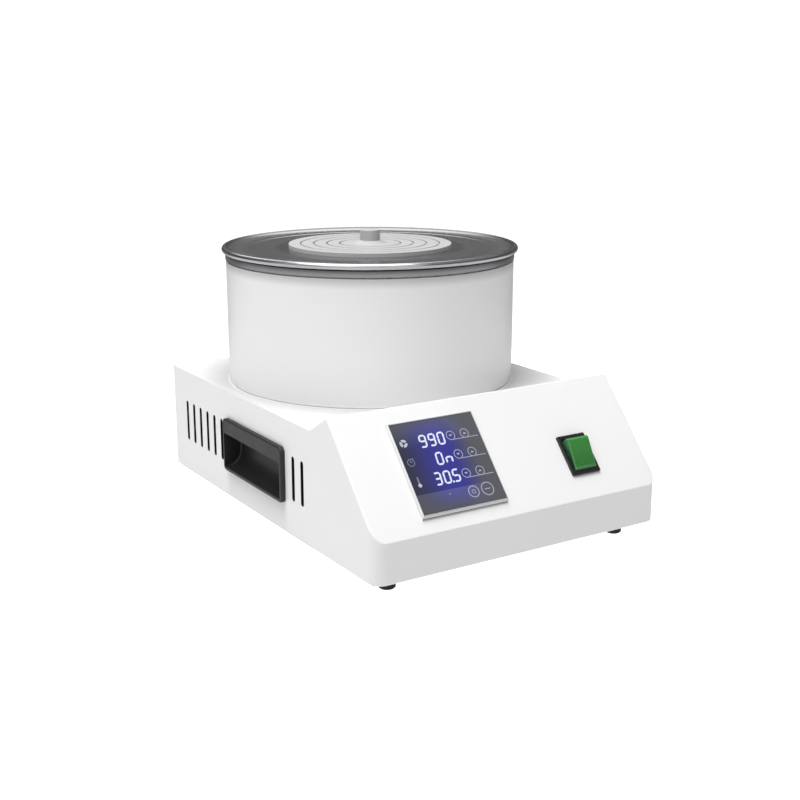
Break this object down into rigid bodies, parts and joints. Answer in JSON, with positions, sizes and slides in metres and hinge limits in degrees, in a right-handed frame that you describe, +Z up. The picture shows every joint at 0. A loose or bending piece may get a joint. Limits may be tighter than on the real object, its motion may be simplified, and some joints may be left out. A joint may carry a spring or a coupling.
{
  "type": "stirred water bath",
  "caption": "Bench water bath: round steel bath with ring lid on a sloped-front housing, magnetic stirring drive below, touch display and rocker switch.",
  "frame": {"origin": "middle of the object's footprint, at the surface that its feet stand on", "axes": "+X to the right of someone facing the display, +Y from the display to the back, +Z up"},
  "size_m": [0.2676, 0.3504, 0.2285],
  "materials": {
    "housing_white": "fine moulded white",
    "jacket_white": "satin white paint",
    "bath_steel": "spun stainless steel",
    "ring_grey": "light grey moulded plastic",
    "grip_black": "fine black texture",
    "foot_rubber": "plain black rubber",
    "display_trim": "satin anodised",
    "display_glass": "dark tinted glass lit blue from behind",
    "lcd_dark": "dark module",
    "board_green": "solder-masked board",
    "switch_black": "moulded black",
    "rocker_green": "translucent green",
    "contact_brass": "plated brass",
    "seal_silicone": "soft silicone",
    "insulation_wool": "glass wool",
    "heater_band": "steel-cased mica band",
    "screw_steel": "plated steel",
    "plate_steel": "zinc-plated sheet",
    "motor_steel": "machined steel",
    "magnet_nickel": "nickel-plated",
    "sink_aluminium": "extruded",
    "core_iron": "varnished laminations",
    "stirrer_white": "fluoropolymer coat"
  },
  "bodies": {
    "housing": {"housing_shell": "housing_white", "bath_jacket": "jacket_white", "bath_pot": "bath_steel", "lid_plate": "bath_steel", "lid_locating_ring": "bath_steel", "reducing_ring_1": "ring_grey", "reducing_ring_2": "ring_grey", "reducing_ring_3": "ring_grey", "reducing_ring_4": "ring_grey", "centre_cover": "ring_grey", "lid_knob": "ring_grey", "grip_left": "grip_black", "grip_right": "grip_black", "foot_front_left": "foot_rubber", "foot_front_right": "foot_rubber", "foot_rear_left": "foot_rubber", "foot_rear_right": "foot_rubber", "display_frame": "display_trim", "touch_glass": "display_glass", "lcd_module": "lcd_dark", "control_board": "board_green", "power_board": "board_green", "switch_body": "switch_black", "inlet_body": "switch_black", "fuse_drawer": "switch_black", "switch_terminals": "contact_brass", "inlet_pins": "contact_brass", "rim_seal": "seal_silicone", "insulation_sleeve": "insulation_wool", "floor_insulation": "insulation_wool", "band_heater": "heater_band", "base_screws": "screw_steel", "foot_screws": "screw_steel", "foot_nuts": "screw_steel", "control_board_screws": "screw_steel", "jacket_screws": "screw_steel", "heater_screw": "screw_steel", "knob_screw": "screw_steel", "bracket_screws": "screw_steel", "motor_screws": "screw_steel", "power_board_screws": "screw_steel", "transformer_screws": "screw_steel", "inlet_screws": "screw_steel", "board_standoffs": "screw_steel", "temperature_probe": "screw_steel", "probe_clip": "screw_steel", "base_plate": "plate_steel", "motor_bracket": "plate_steel", "motor_housing": "motor_steel", "motor_bearings": "motor_steel", "heat_sink": "sink_aluminium", "transformer": "core_iron"},
    "rocker": {"switch_rocker": "rocker_green"},
    "drive_rotor": {"drive_shaft": "motor_steel", "magnet_holder": "motor_steel", "drive_magnets": "magnet_nickel"},
    "stirrer": {"stir_bar": "stirrer_white"}
  },
  "joints": [
    {"name": "rocker_tilt", "type": "hinge", "parent": "housing", "child": "rocker", "pos_m": [0.0669, -0.15155, 0.07078], "axis": [1, 0, 0], "range_deg": [-27, 0]},
    {"name": "drive_spin", "type": "hinge", "parent": "housing", "child": "drive_rotor", "pos_m": [0, 0.046, 0.09], "axis": [0, 0, 1], "continuous": true},
    {"name": "stir_spin", "type": "hinge", "parent": "housing", "child": "stirrer", "pos_m": [0, 0.046, 0.1123], "axis": [0, 0, 1], "continuous": true}
  ],
  "couplings": [
    {"joint": "stir_spin", "follows": "drive_spin", "ratio": 1}
  ]
}
